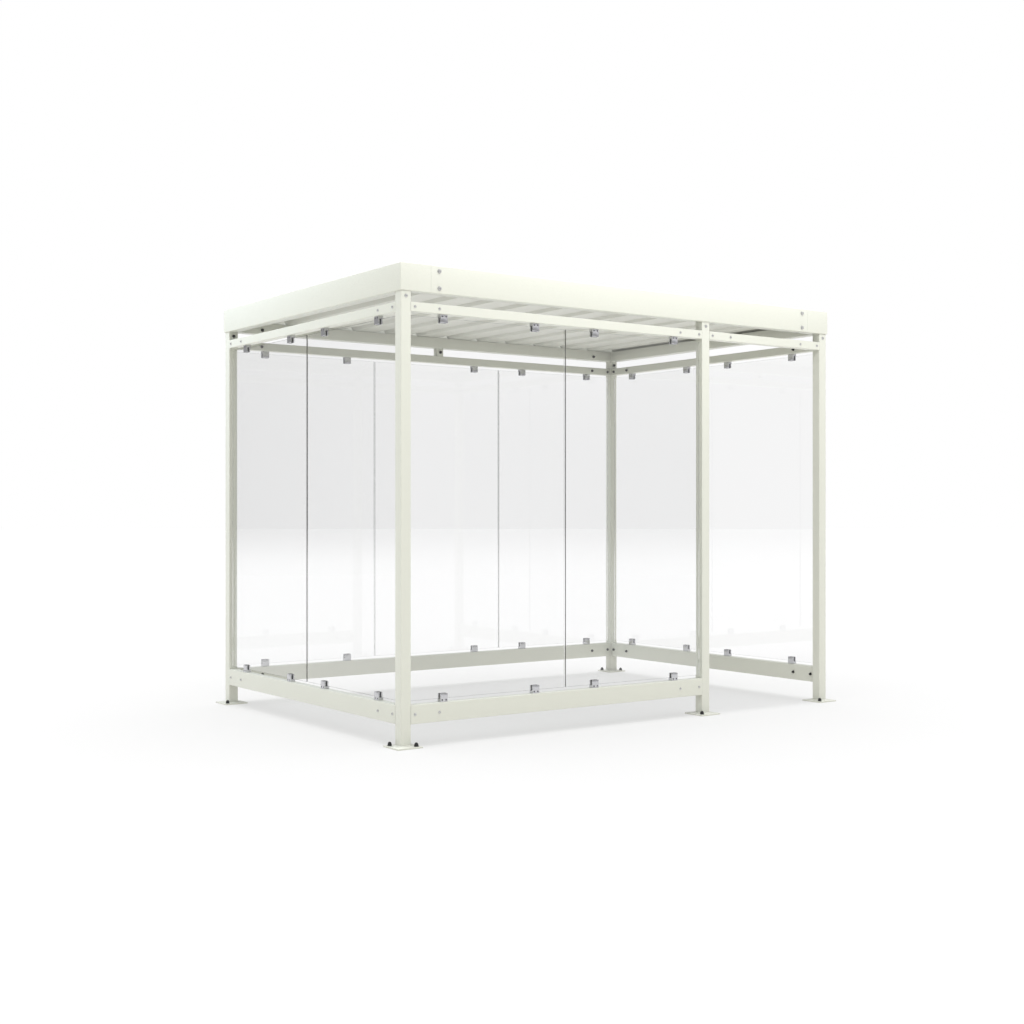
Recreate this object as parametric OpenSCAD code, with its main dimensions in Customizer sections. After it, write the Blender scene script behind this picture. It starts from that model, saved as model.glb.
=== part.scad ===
// Open steel and glass smoking shelter, millimetres.
// +X runs along the front from left to right, +Y from the front to the back, +Z up.
// The origin is on the floor, in the middle of the plan.

/* [Overall] */
// Length over the outer faces of the posts
shelter_w = 3180; // [2600:10:4200]
// Depth over the outer faces of the posts
shelter_d = 2160; // [1700:10:3000]
// Height to the top edge of the fascia
shelter_h = 2500; // [2250:10:3000]
// Clear width of the doorway, at the right-hand end of the front
door_w = 960; // [800:10:1200]

/* [Posts and base plates] */
// Side of the square post
post = 60; // [50:1:80]
// Wall of the post
post_wall = 3; // [2:0.5:5]
// Outer corner radius of the post
post_r = 4; // [3:0.5:6]
// Side of the square base plate
plate = 150; // [140:5:220]
// Thickness of the base plate
plate_t = 8; // [6:1:15]
// Diameter of an anchor hole
anchor_hole = 14; // [10:1:18]
// Anchor hole centre from the middle of the plate, along each side
anchor_offset = 50; // [48:1:58]

/* [Rails] */
// Depth of every rail, flush with the outer faces of the posts
rail_d = 50; // [40:1:50]
// Height of a top rail
top_rail_h = 50; // [40:1:80]
// Height of a bottom rail
bottom_rail_h = 100; // [60:1:120]
// Wall of a rail
rail_wall = 3; // [2:0.5:4]
// Outer corner radius of a rail
rail_r = 3.5; // [3:0.5:4]
// Gap between the floor and the bottom rails
floor_gap = 120; // [80:5:200]
// Open gap between the top rails and the fascia
vent_gap = 54; // [40:1:90]
// How far a joining sleeve reaches into a rail
sleeve_l = 200; // [100:10:230]
// How far a roof spigot reaches down into a post
spigot_l = 120; // [80:5:180]
// Clearance round a sleeve or a spigot
sleeve_clear = 0.5; // [0.3:0.1:0.8]

/* [Glass] */
// Number of panes in the back wall
back_panes = 3; // [3:1:3]
// Thickness of the glass
glass_t = 8; // [6:1:10]
// Gap between a pane and a post, or half the gap between two panes
pane_side_gap = 5; // [3:1:12]
// Gap between a pane and the rail above or below it
pane_rail_gap = 18; // [12:1:24]

/* [Glass clamps] */
// Width of a clamp along the rail
clamp_w = 45; // [35:1:60]
// Height of a clamp from the rail
clamp_h = 45; // [40:1:60]
// Depth of a clamp through the wall
clamp_d = 30; // [26:1:36]
// Radius of the clamp's free corners
clamp_r = 4; // [2:0.5:6]
// Rubber between the clamp and the glass
rubber_t = 2; // [1.5:0.5:3]
// Middle of a clamp from the end of its bay
clamp_inset = 210; // [120:5:260]

/* [Roof] */
// Height of the fascia
fascia_h = 143; // [120:1:180]
// How far the fascia stands out past the posts
overhang = 7; // [4:1:15]
// Thickness of the folded fascia steel
fascia_t = 3; // [2:0.5:4]
// Width of the fascia's folded top rim
rim_w = 15; // [8:1:25]
// Height of the channel's inner side, which carries the roof sheet
seat_h = 73; // [55:1:85]
// Width of the folded seat under the edge of the roof sheet
seat_w = 25; // [15:1:32]
// Length of front fascia that a side fascia wraps round at each corner
wrap_l = 178; // [140:1:220]
// Gap at a fascia seam
seam_gap = 0.8; // [0.4:0.1:0.9]
// Thickness of the plate behind a fascia seam
splice_t = 4; // [3:0.5:6]
// How far that plate reaches to each side of the seam
splice_reach = 75; // [60:1:90]
// Clear strip between that plate and the folds above and below it
splice_edge = 6; // [3:1:10]

/* [Roof sheet] */
// Thickness of the ribbed sheet
sheet_t = 1; // [0.8:0.1:1.5]
// Distance from rib to rib
rib_pitch = 250; // [200:5:300]
// Width of a rib at its foot
rib_foot = 92; // [70:1:110]
// Width of a rib at its top
rib_top = 42; // [30:1:60]
// Height of a rib
rib_h = 34; // [25:1:40]
// Middle of the first rib from the outer face of the left-hand posts
first_rib = 112; // [110:1:130]
// Side edges of the sheet from the outer faces of the posts
sheet_edge = 20; // [15:1:35]
// How far the ends of the ribs reach over the channel's seat, front and back
sheet_bearing = 18; // [10:1:30]
// Extra width of the last rib, which closes the sheet at its right-hand edge
edge_rib = 30; // [0:1:40]

/* [Hidden] */
$fn = 48;
x_out = shelter_w / 2;                       // outer faces of the posts
y_out = shelter_d / 2;
x_in = x_out - post;                         // inner faces of the posts
y_in = y_out - post;
front_l = 2 * x_in;                          // clear length between the corner posts
side_l = 2 * y_in;
mid_post = front_l - door_w - post;          // front glazing, left-hand post to middle post
bay_front = mid_post / 2;
bay_side = side_l / 2;
bay_back = front_l / back_panes;

fascia_z = shelter_h - fascia_h;             // underside of the roof channel
top_rail_z = fascia_z - vent_gap - top_rail_h;
glass_z = floor_gap + bottom_rail_h + pane_rail_gap;
glass_top = top_rail_z - pane_rail_gap;
wall_mid = rail_d / 2;                       // glass, clamps and sleeves sit in the middle of a rail
seat_z = fascia_z + seat_h;
channel_w = overhang + post;                 // outer face of the fascia to the inner side
slot_w = glass_t + 2 * rubber_t;
foot_h = pane_rail_gap - rubber_t;           // solid part of a clamp, between rail and rubber

steel = [0.93, 0.93, 0.90];
roof_steel = [0.86, 0.86, 0.82];
clear_glass = [0.85, 0.92, 0.92, 0.35];
clamp_metal = [0.66, 0.67, 0.69];
black_rubber = [0.10, 0.10, 0.10];

// ---- profiles ----

module rounded_rect(a, b, r) {
    square([a - 2 * r, b], center = true);
    square([a, b - 2 * r], center = true);
    for (sx = [-1, 1], sy = [-1, 1])
        translate([sx * (a / 2 - r), sy * (b / 2 - r)]) circle(r);
}

// A square or oblong tube's section, a across and b up
module tube_section(a, b, wall, r) {
    difference() {
        rounded_rect(a, b, r);
        rounded_rect(a - 2 * wall, b - 2 * wall, max(r - wall, 0.5));
    }
}

// ---- the four walls ----
// Inside on_wall(), x runs along the wall from the inner face of its first post,
// y runs inwards from the wall's outer face, and z is the height.

module on_wall(side) {
    if (side == "front") translate([-x_in, -y_out, 0]) children();
    if (side == "back") translate([x_in, y_out, 0]) rotate(180) children();
    if (side == "left") translate([-x_out, y_in, 0]) rotate(-90) children();
    if (side == "right") translate([x_out, -y_in, 0]) rotate(90) children();
}

// A tube of the wall, from x0 to x1, with its underside at z
module wall_tube(x0, x1, z, d, h, wall, r) {
    translate([x0, wall_mid, z + h / 2]) rotate([90, 0, 90])
        linear_extrude(x1 - x0) tube_section(d, h, wall, r);
}

module rail(side, x0, x1, z, h) {
    color(steel) on_wall(side) wall_tube(x0, x1, z, rail_d, h, rail_wall, rail_r);
}

// The two sleeves inside a rail, welded to the posts at its ends
module rail_sleeves(x0, x1, z, h) {
    cut = rail_wall + sleeve_clear;
    for (start = [x0, x1 - sleeve_l])
        wall_tube(start, start + sleeve_l, z + cut, rail_d - 2 * cut, h - 2 * cut, rail_wall, rail_r);
}

// ---- posts ----

// Plan positions of the posts' middles
function corner(sx, sy) = [sx * (x_out - post / 2), sy * (y_out - post / 2)];
front_middle = [-x_in + mid_post + post / 2, -(y_out - post / 2)];

module post_at(pos) {
    color(steel) translate([pos[0], pos[1], plate_t])
        linear_extrude(fascia_z - plate_t) tube_section(post, post, post_wall, post_r);
}

// A base plate with two anchor holes on one of its diagonals (turn = 1 or -1)
module base_plate(pos, turn) {
    translate([pos[0], pos[1], 0]) difference() {
        translate([-plate / 2, -plate / 2, 0]) cube([plate, plate, plate_t]);
        for (s = [-1, 1])
            translate([s * anchor_offset, s * turn * anchor_offset, -1])
                cylinder(d = anchor_hole, h = plate_t + 2);
    }
}

module base_plates() {
    color(steel) {
        base_plate(corner(-1, -1), -1);
        base_plate(front_middle, 1);
        base_plate(corner(1, -1), 1);
        base_plate(corner(-1, 1), 1);
        base_plate(corner(1, 1), -1);
    }
}

// Short upright between the back top rail and the roof channel
module stub_back() {
    color(steel) translate([0, y_out - rail_d / 2, top_rail_z + top_rail_h])
        linear_extrude(vent_gap) tube_section(rail_d, rail_d, rail_wall, rail_r);
}

// Inner tubes under the roof channel that drop into the posts and the stub
module roof_spigots() {
    side = post - 2 * (post_wall + sleeve_clear);
    stub_side = rail_d - 2 * (rail_wall + sleeve_clear);
    color(steel) {
        for (pos = [corner(-1, -1), front_middle, corner(1, -1), corner(-1, 1), corner(1, 1)])
            translate([pos[0], pos[1], fascia_z - spigot_l])
                linear_extrude(spigot_l) tube_section(side, side, post_wall, post_r);
        translate([0, y_out - rail_d / 2, fascia_z - vent_gap + sleeve_clear])
            linear_extrude(vent_gap - sleeve_clear)
                tube_section(stub_side, stub_side, rail_wall, rail_r);
    }
}

module joining_sleeves() {
    door_x = mid_post + post;
    color(steel) {
        on_wall("front") {
            rail_sleeves(0, mid_post, floor_gap, bottom_rail_h);
            rail_sleeves(0, mid_post, top_rail_z, top_rail_h);
            rail_sleeves(door_x, front_l, top_rail_z, top_rail_h);
        }
        for (side = ["left", "right"]) on_wall(side) {
            rail_sleeves(0, side_l, floor_gap, bottom_rail_h);
            rail_sleeves(0, side_l, top_rail_z, top_rail_h);
        }
        on_wall("back") {
            rail_sleeves(0, front_l, floor_gap, bottom_rail_h);
            rail_sleeves(0, front_l, top_rail_z, top_rail_h);
        }
    }
}

// ---- glass ----

// Pane number i of a wall, counted from the wall's first post
module pane(side, bay, i) {
    color(clear_glass) on_wall(side)
        translate([bay * i + pane_side_gap, wall_mid - glass_t / 2, glass_z])
            cube([bay - 2 * pane_side_gap, glass_t, glass_top - glass_z]);
}

// Puts its children at every clamp of a wall: z = 0 is the face of the rail,
// and the clamp hangs down from it
module at_clamps(side, bay, panes) {
    on_wall(side)
        for (i = [0 : panes - 1], x = [bay * i + clamp_inset, bay * (i + 1) - clamp_inset]) {
            translate([x, wall_mid, top_rail_z]) children();
            translate([x, wall_mid, floor_gap + bottom_rail_h]) mirror([0, 0, 1]) children();
        }
}

// The clamp's outline seen from the front, square at the rail and rounded at its free end
module clamp_outline() {
    translate([-clamp_w / 2, -clamp_h + clamp_r]) square([clamp_w, clamp_h - clamp_r]);
    translate([-clamp_w / 2 + clamp_r, -clamp_h]) square([clamp_w - 2 * clamp_r, clamp_h]);
    for (s = [-1, 1]) translate([s * (clamp_w / 2 - clamp_r), -clamp_h + clamp_r]) circle(clamp_r);
}

module clamp() {
    difference() {
        translate([0, clamp_d / 2, 0]) rotate([90, 0, 0]) linear_extrude(clamp_d) clamp_outline();
        translate([-clamp_w / 2 - 1, -slot_w / 2, -clamp_h - 1])
            cube([clamp_w + 2, slot_w, clamp_h + 1 - foot_h]);
    }
}

// Rubber channel that lines the clamp's slot and grips the edge of the glass
module clamp_rubber() {
    difference() {
        intersection() {
            translate([0, slot_w / 2, 0]) rotate([90, 0, 0]) linear_extrude(slot_w) clamp_outline();
            translate([-clamp_w / 2, -slot_w / 2, -clamp_h]) cube([clamp_w, slot_w, clamp_h - foot_h]);
        }
        translate([-clamp_w / 2 - 1, -glass_t / 2, -clamp_h - 1])
            cube([clamp_w + 2, glass_t, clamp_h + 1 - pane_rail_gap]);
    }
}

module clamps(side, bay, panes) {
    color(clamp_metal) at_clamps(side, bay, panes) clamp();
}

module rubbers(side, bay, panes) {
    color(black_rubber) at_clamps(side, bay, panes) clamp_rubber();
}

// ---- roof ----

// Frame of the plan's shape, w wide, whose outer edge is out beyond the posts
module plan_ring(out, w, z, h) {
    difference() {
        translate([-x_out - out, -y_out - out, z])
            cube([shelter_w + 2 * out, shelter_d + 2 * out, h]);
        translate([-x_out - out + w, -y_out - out + w, z - 1])
            cube([shelter_w + 2 * (out - w), shelter_d + 2 * (out - w), h + 2]);
    }
}

// The roof channel all round: tall fascia, flat underside, low inner side, seat for the
// sheet and top rim
module roof_channel() {
    plan_ring(overhang, fascia_t, fascia_z, fascia_h);
    plan_ring(overhang, channel_w, fascia_z, fascia_t);
    plan_ring(overhang - channel_w + fascia_t, fascia_t, fascia_z, seat_h);
    plan_ring(overhang - channel_w + seat_w, seat_w, seat_z - fascia_t, fascia_t);
    plan_ring(overhang, rim_w, shelter_h - fascia_t, fascia_t);
}

// Keeps what lies between x0 and x1, over the y range given
module keep(x0, x1, y0, y1) {
    intersection() {
        children();
        translate([x0, y0, fascia_z - 1]) cube([x1 - x0, y1 - y0, fascia_h + 2]);
    }
}

far_x = x_out + overhang + 1;
far_y = y_out + overhang + 1;
seam_x = x_out - wrap_l;

module fascia_left() {
    color(steel) keep(-far_x, -seam_x - seam_gap / 2, -far_y, far_y) roof_channel();
}

module fascia_right() {
    color(steel) keep(seam_x + seam_gap / 2, far_x, -far_y, far_y) roof_channel();
}

module fascia_front() {
    color(steel) keep(-seam_x + seam_gap / 2, seam_x - seam_gap / 2, -far_y, 0) roof_channel();
}

module fascia_back() {
    color(steel) keep(-seam_x + seam_gap / 2, seam_x - seam_gap / 2, 0, far_y) roof_channel();
}

// Plates behind the four fascia seams, bolted through from outside
module fascia_splices() {
    z0 = fascia_z + fascia_t + splice_edge;
    h = fascia_h - 2 * (fascia_t + splice_edge);
    color(steel) for (sx = [-1, 1], sy = [-1, 1])
        translate([sx * seam_x, sy * (y_out + overhang - fascia_t - splice_t / 2), z0 + h / 2])
            cube([2 * splice_reach, splice_t, h], center = true);
}

// Underside of the ribbed sheet, from its left-hand edge to its right-hand edge
sheet_x0 = -x_out + sheet_edge;
sheet_x1 = x_out - sheet_edge;
rib_count = floor((shelter_w - first_rib - sheet_edge - rib_foot / 2) / rib_pitch) + 1;
function rib_points(x, extra) = [[x - rib_foot / 2 - extra, 0], [x - rib_top / 2 - extra, rib_h],
                                 [x + rib_top / 2, rib_h], [x + rib_foot / 2, 0]];
sheet_line = concat([[sheet_x0, 0]],
    [for (i = [0 : rib_count - 1], p = rib_points(-x_out + first_rib + i * rib_pitch,
                                                  i == rib_count - 1 ? edge_rib : 0)) p],
    [[sheet_x1, 0]]);

module roof_sheet() {
    last = len(sheet_line) - 1;
    upper = [for (i = [last : -1 : 0]) sheet_line[i] + [0, sheet_t]];
    y_end = y_in + sheet_bearing;
    color(roof_steel) translate([0, y_end, seat_z]) rotate([90, 0, 0])
        linear_extrude(2 * y_end) polygon(concat(sheet_line, upper));
}

// ---- the pieces ----

base_plates();
post_at(corner(-1, -1));  // post_front_left
post_at(front_middle);  // post_front_middle
post_at(corner(1, -1));  // post_front_right
post_at(corner(-1, 1));  // post_back_left
post_at(corner(1, 1));  // post_back_right
stub_back();
joining_sleeves();
roof_spigots();

rail("front", 0, mid_post, top_rail_z, top_rail_h);  // top_rail_front
rail("front", mid_post + post, front_l, top_rail_z, top_rail_h);  // top_rail_doorway
rail("left", 0, side_l, top_rail_z, top_rail_h);  // top_rail_left
rail("right", 0, side_l, top_rail_z, top_rail_h);  // top_rail_right
rail("back", 0, front_l, top_rail_z, top_rail_h);  // top_rail_back
rail("front", 0, mid_post, floor_gap, bottom_rail_h);  // bottom_rail_front
rail("left", 0, side_l, floor_gap, bottom_rail_h);  // bottom_rail_left
rail("right", 0, side_l, floor_gap, bottom_rail_h);  // bottom_rail_right
rail("back", 0, front_l, floor_gap, bottom_rail_h);  // bottom_rail_back

pane("front", bay_front, 0);  // glass_front_left
pane("front", bay_front, 1);  // glass_front_right
pane("left", bay_side, 0);  // glass_left_back
pane("left", bay_side, 1);  // glass_left_front
pane("right", bay_side, 0);  // glass_right_front
pane("right", bay_side, 1);  // glass_right_back
pane("back", bay_back, 0);  // glass_back_right
pane("back", bay_back, 1);  // glass_back_middle
pane("back", bay_back, 2);  // glass_back_left

clamps("front", bay_front, 2);  // clamps_front
clamps("left", bay_side, 2);  // clamps_left
clamps("right", bay_side, 2);  // clamps_right
clamps("back", bay_back, back_panes);  // clamps_back
rubbers("front", bay_front, 2);  // rubbers_front
rubbers("left", bay_side, 2);  // rubbers_left
rubbers("right", bay_side, 2);  // rubbers_right
rubbers("back", bay_back, back_panes);  // rubbers_back

fascia_left();
fascia_right();
fascia_front();
fascia_back();
fascia_splices();
roof_sheet();
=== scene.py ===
# Smoking shelter: finishes, folded edges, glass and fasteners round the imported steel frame.
# Metres throughout, origin on the floor in the middle of the plan, front towards -Y.
import math

import bmesh
import bpy
from mathutils import Matrix, Vector


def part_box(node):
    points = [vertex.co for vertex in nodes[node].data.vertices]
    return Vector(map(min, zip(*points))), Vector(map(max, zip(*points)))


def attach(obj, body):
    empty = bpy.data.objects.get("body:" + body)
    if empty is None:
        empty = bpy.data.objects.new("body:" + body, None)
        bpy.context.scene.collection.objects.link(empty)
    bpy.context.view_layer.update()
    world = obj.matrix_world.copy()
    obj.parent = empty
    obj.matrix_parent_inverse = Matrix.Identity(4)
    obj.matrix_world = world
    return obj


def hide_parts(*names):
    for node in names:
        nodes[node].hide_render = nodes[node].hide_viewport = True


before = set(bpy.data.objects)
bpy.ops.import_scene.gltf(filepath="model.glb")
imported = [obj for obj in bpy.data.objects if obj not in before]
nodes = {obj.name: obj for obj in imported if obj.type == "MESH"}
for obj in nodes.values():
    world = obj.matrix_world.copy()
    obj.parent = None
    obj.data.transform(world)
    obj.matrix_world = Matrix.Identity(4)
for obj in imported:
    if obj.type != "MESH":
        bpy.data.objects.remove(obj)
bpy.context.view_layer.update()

scene = bpy.context.scene
mm = 0.001
print("frame loaded:", len(nodes), "nodes")


# ---- places, worked out from the frame ----

outward = {
    "front": Vector((0, -1, 0)),
    "back": Vector((0, 1, 0)),
    "left": Vector((-1, 0, 0)),
    "right": Vector((1, 0, 0)),
}
wallTurn = {"front": 0, "right": 90, "back": 180, "left": 270}   # degrees about Z
up = Vector((0, 0, 1))

lowFront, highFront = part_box("post_front_left")
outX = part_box("post_front_right")[1].x        # outer faces of the posts
outY = -lowFront.y
postSide = highFront.x - lowFront.x
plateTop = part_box("base_plates")[1].z
channelLow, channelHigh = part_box("fascia_left")
fasciaBottom = channelLow.z
fasciaTop = channelHigh.z
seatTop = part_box("roof_sheet")[0].z
topRailBottom, topRailTop = (corner.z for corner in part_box("top_rail_front"))
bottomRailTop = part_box("bottom_rail_front")[1].z


def sideOf(name):   # the first wall that the name gives, so glass_left_front is in the left wall
    return next(word for word in name.split("_") if word in wallTurn)


def faceMiddle(node, direction):   # middle of the box face that looks that way
    low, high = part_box(node)
    half = (high - low) / 2
    return (low + high) / 2 + Vector([direction[i] * half[i] for i in range(3)])


# ---- node groups shared by the finishes ----

def newGroup(name, inputs, outputs):
    group = bpy.data.node_groups.new(name, "ShaderNodeTree")
    for label, kind, value in inputs:
        group.interface.new_socket(name=label, in_out="INPUT", socket_type=kind).default_value = value
    for label, kind in outputs:
        group.interface.new_socket(name=label, in_out="OUTPUT", socket_type=kind)
    return group, group.nodes.new("NodeGroupInput"), group.nodes.new("NodeGroupOutput")


def addNode(tree, kind, **settings):
    made = tree.nodes.new(kind)
    for key, value in settings.items():
        if key in made.inputs:
            made.inputs[key].default_value = value
        else:
            setattr(made, key, value)
    return made


def mathOf(tree, operation, first, second, clamp=False):   # either value may be a socket or a number
    made = tree.nodes.new("ShaderNodeMath")
    made.operation = operation
    made.use_clamp = clamp
    for socket, value in zip(made.inputs, (first, second)):
        if isinstance(value, (int, float)):
            socket.default_value = value
        else:
            tree.links.new(value, socket)
    return made.outputs[0]


def noiseOf(tree, vector, size, detail=2.0, roughness=0.5):   # the size may be a socket or a number
    noise = addNode(tree, "ShaderNodeTexNoise", Detail=detail, Roughness=roughness)
    tree.links.new(vector, noise.inputs["Vector"])
    tree.links.new(mathOf(tree, "DIVIDE", 1.0, size), noise.inputs["Scale"])
    return noise.outputs["Fac"]


def spreadOf(tree, value, fromLow, fromHigh, toLow, toHigh, easing="LINEAR"):
    spread = addNode(tree, "ShaderNodeMapRange", interpolation_type=easing)
    for socket, number in zip(spread.inputs[1:5], (fromLow, fromHigh, toLow, toHigh)):
        socket.default_value = number
    tree.links.new(value, spread.inputs["Value"])
    return spread.outputs["Result"]


def makeCoatGrain():
    # the fine orange peel of a powder coat over slow waves in the steel below it
    group, given, result = newGroup(
        "coatGrain",
        [("Peel size", "NodeSocketFloat", 0.002), ("Wave size", "NodeSocketFloat", 0.12)],
        [("Height", "NodeSocketFloat"), ("Peel", "NodeSocketFloat")])
    place = addNode(group, "ShaderNodeTexCoord").outputs["Object"]
    peel = noiseOf(group, place, given.outputs["Peel size"], detail=1.0)
    wave = noiseOf(group, place, given.outputs["Wave size"], detail=1.0)
    group.links.new(mathOf(group, "ADD", peel, wave), result.inputs["Height"])
    group.links.new(peel, result.inputs["Peel"])
    return group


def makeToneDrift():
    # slow and faint change of tone from place to place
    group, given, result = newGroup(
        "toneDrift",
        [("Color", "NodeSocketColor", (0.8, 0.8, 0.8, 1)), ("Amount", "NodeSocketFloat", 0.03),
         ("Patch size", "NodeSocketFloat", 0.35)],
        [("Color", "NodeSocketColor")])
    place = addNode(group, "ShaderNodeTexCoord").outputs["Object"]
    noise = noiseOf(group, place, given.outputs["Patch size"], detail=4.0)
    swing = mathOf(group, "MULTIPLY", mathOf(group, "SUBTRACT", noise, 0.5), given.outputs["Amount"])
    level = mathOf(group, "ADD", mathOf(group, "MULTIPLY", swing, 2.0), 1.0)
    shade = addNode(group, "ShaderNodeVectorMath", operation="SCALE")
    group.links.new(given.outputs["Color"], shade.inputs[0])
    group.links.new(level, shade.inputs["Scale"])
    group.links.new(shade.outputs[0], result.inputs["Color"])
    return group


def makeEdgeHighlightMask():
    # 1 on the outer edges and 0 on the flats, which is where the frame paint lays its painted edge highlight
    group, given, result = newGroup(
        "edgeHighlightMask",
        [("Width", "NodeSocketFloat", 0.002), ("Breakup size", "NodeSocketFloat", 0.02),
         ("Gain", "NodeSocketFloat", 6.0)],
        [("Mask", "NodeSocketFloat")])
    soft = addNode(group, "ShaderNodeBevel", samples=4)
    group.links.new(given.outputs["Width"], soft.inputs["Radius"])
    flat = addNode(group, "ShaderNodeNewGeometry")
    dot = addNode(group, "ShaderNodeVectorMath", operation="DOT_PRODUCT")
    group.links.new(soft.outputs[0], dot.inputs[0])
    group.links.new(flat.outputs["Normal"], dot.inputs[1])
    turned = mathOf(group, "SUBTRACT", 1.0, dot.outputs["Value"])
    bend = mathOf(group, "MULTIPLY", turned, given.outputs["Gain"], clamp=True)
    place = addNode(group, "ShaderNodeTexCoord").outputs["Object"]
    broken = mathOf(group, "MULTIPLY", bend, noiseOf(group, place, given.outputs["Breakup size"]))
    group.links.new(broken, result.inputs["Mask"])
    return group


def makeFloorDust():
    # dust and splash that thin out with height above the floor
    group, given, result = newGroup(
        "floorDust",
        [("Reach", "NodeSocketFloat", 0.3), ("Speck size", "NodeSocketFloat", 0.03)],
        [("Mask", "NodeSocketFloat")])
    place = addNode(group, "ShaderNodeTexCoord").outputs["Object"]
    split = addNode(group, "ShaderNodeSeparateXYZ")
    group.links.new(place, split.inputs[0])
    share = mathOf(group, "DIVIDE", split.outputs["Z"], given.outputs["Reach"])
    lowness = mathOf(group, "SUBTRACT", 1.0, share, clamp=True)
    faded = mathOf(group, "POWER", lowness, 2.0)
    specks = noiseOf(group, place, given.outputs["Speck size"], detail=4.0, roughness=0.65)
    group.links.new(mathOf(group, "MULTIPLY", faded, specks), result.inputs["Mask"])
    return group


def makeDrawnGrain():
    # fine lines drawn out one way, as brushing or rolling leaves them
    group, given, result = newGroup(
        "drawnGrain",
        [("Stretch", "NodeSocketVector", (1, 1, 0.03)), ("Line size", "NodeSocketFloat", 0.0006)],
        [("Height", "NodeSocketFloat")])
    place = addNode(group, "ShaderNodeTexCoord").outputs["Object"]
    drawn = addNode(group, "ShaderNodeVectorMath", operation="MULTIPLY")
    group.links.new(place, drawn.inputs[0])
    group.links.new(given.outputs["Stretch"], drawn.inputs[1])
    lines = noiseOf(group, drawn.outputs[0], given.outputs["Line size"], detail=3.0, roughness=0.6)
    group.links.new(lines, result.inputs["Height"])
    return group


coatGrain = makeCoatGrain()
toneDrift = makeToneDrift()
edgeHighlightMask = makeEdgeHighlightMask()
floorDust = makeFloorDust()
drawnGrain = makeDrawnGrain()
print("node groups made")


# ---- finishes ----

def newFinish(name, **sockets):
    material = bpy.data.materials.new(name)
    material.use_nodes = True
    shader = material.node_tree.nodes["Principled BSDF"]
    for label, value in sockets.items():
        shader.inputs[label.replace("_", " ")].default_value = value
    return material, material.node_tree, shader


def placeGroup(tree, group, **sockets):
    placed = tree.nodes.new("ShaderNodeGroup")
    placed.node_tree = group
    for label, value in sockets.items():
        placed.inputs[label.replace("_", " ")].default_value = value
    return placed


def mixColor(tree, mask, share, base, over):   # lays a second color over the base where the mask is
    mix = addNode(tree, "ShaderNodeMix", data_type="RGBA")
    tree.links.new(mathOf(tree, "MULTIPLY", mask, share, clamp=True), mix.inputs["Factor"])
    tree.links.new(base, mix.inputs["A"])
    mix.inputs["B"].default_value = over
    return mix.outputs["Result"]


def bumpFrom(tree, shader, height, distance):
    bump = addNode(tree, "ShaderNodeBump", Strength=1.0, Distance=distance)
    tree.links.new(height, bump.inputs["Height"])
    tree.links.new(bump.outputs["Normal"], shader.inputs["Normal"])


def roughnessFrom(tree, shader, grain, limits):   # noise seldom leaves 0.3 to 0.7
    tree.links.new(spreadOf(tree, grain, 0.3, 0.7, *limits), shader.inputs["Roughness"])


paintLook = {
    "frame": (0.800, 0.812, 0.722, 1),
    "drift": 0.003,
    # painted highlight: a lighter colour laid along the outer edges, which partly also stands for a thinner
    # coat there
    "edge": (0.88, 0.885, 0.82, 1),
    "edgeHighlightShare": 0.5,
    "edgeHighlightWidth": 0.0015,
    "dust": (0.52, 0.50, 0.45, 1),
    "dustShare": 0.16,
    "dustReach": 0.28,
    "roughness": (0.25, 0.31),
    "peelHeight": 0.00003,
}


def makeFramePaint():
    material, tree, shader = newFinish("framePaint")
    drift = placeGroup(tree, toneDrift, Color=paintLook["frame"], Amount=paintLook["drift"])
    edges = placeGroup(tree, edgeHighlightMask, Width=paintLook["edgeHighlightWidth"])
    dust = placeGroup(tree, floorDust, Reach=paintLook["dustReach"])
    grain = placeGroup(tree, coatGrain)
    # painted highlight: the lighter edge colour goes over the paint along the outer edges
    lit = mixColor(tree, edges.outputs["Mask"], paintLook["edgeHighlightShare"], drift.outputs["Color"],
                   paintLook["edge"])
    dusty = mixColor(tree, dust.outputs["Mask"], paintLook["dustShare"], lit, paintLook["dust"])
    tree.links.new(dusty, shader.inputs["Base Color"])
    roughnessFrom(tree, shader, grain.outputs["Peel"], paintLook["roughness"])
    bumpFrom(tree, shader, grain.outputs["Height"], paintLook["peelHeight"])
    return material


roofLook = {
    "sheet": (0.76, 0.765, 0.70, 1),
    "drift": 0.004,
    "driftPatch": 0.5,
    "streak": (0.73, 0.735, 0.67, 1),
    "streakShare": 0.06,
    "stretch": (1, 0.02, 1),    # the rolled lines run from front to back
    "lineSize": 0.012,
    "lineHeight": 0.00002,
    "roughness": (0.30, 0.34),
}


def makeRoofPaint():
    material, tree, shader = newFinish("roofPaint")
    drift = placeGroup(tree, toneDrift, Color=roofLook["sheet"], Amount=roofLook["drift"],
                       Patch_size=roofLook["driftPatch"])
    rolled = placeGroup(tree, drawnGrain, Stretch=roofLook["stretch"], Line_size=roofLook["lineSize"])
    lines = rolled.outputs["Height"]
    streaks = mixColor(tree, lines, roofLook["streakShare"], drift.outputs["Color"], roofLook["streak"])
    tree.links.new(streaks, shader.inputs["Base Color"])
    roughnessFrom(tree, shader, lines, roofLook["roughness"])
    bumpFrom(tree, shader, lines, roofLook["lineHeight"])
    return material


glassLook = {
    "tint": (0.995, 0.993, 0.995, 1),
    "drift": 0.006,
    "driftPatch": 0.8,
    "shade": (0.925, 0.93, 0.928, 1),   # each face, for light that falls through the pane
    "depth": (0.56, 0.61, 0.59, 1),
    "density": 6.0,
    "refraction": 1.52,
    "waveSize": 0.4,                    # the slow roller wave of toughened glass
    "waveHeight": 0.00006,
}


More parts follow.
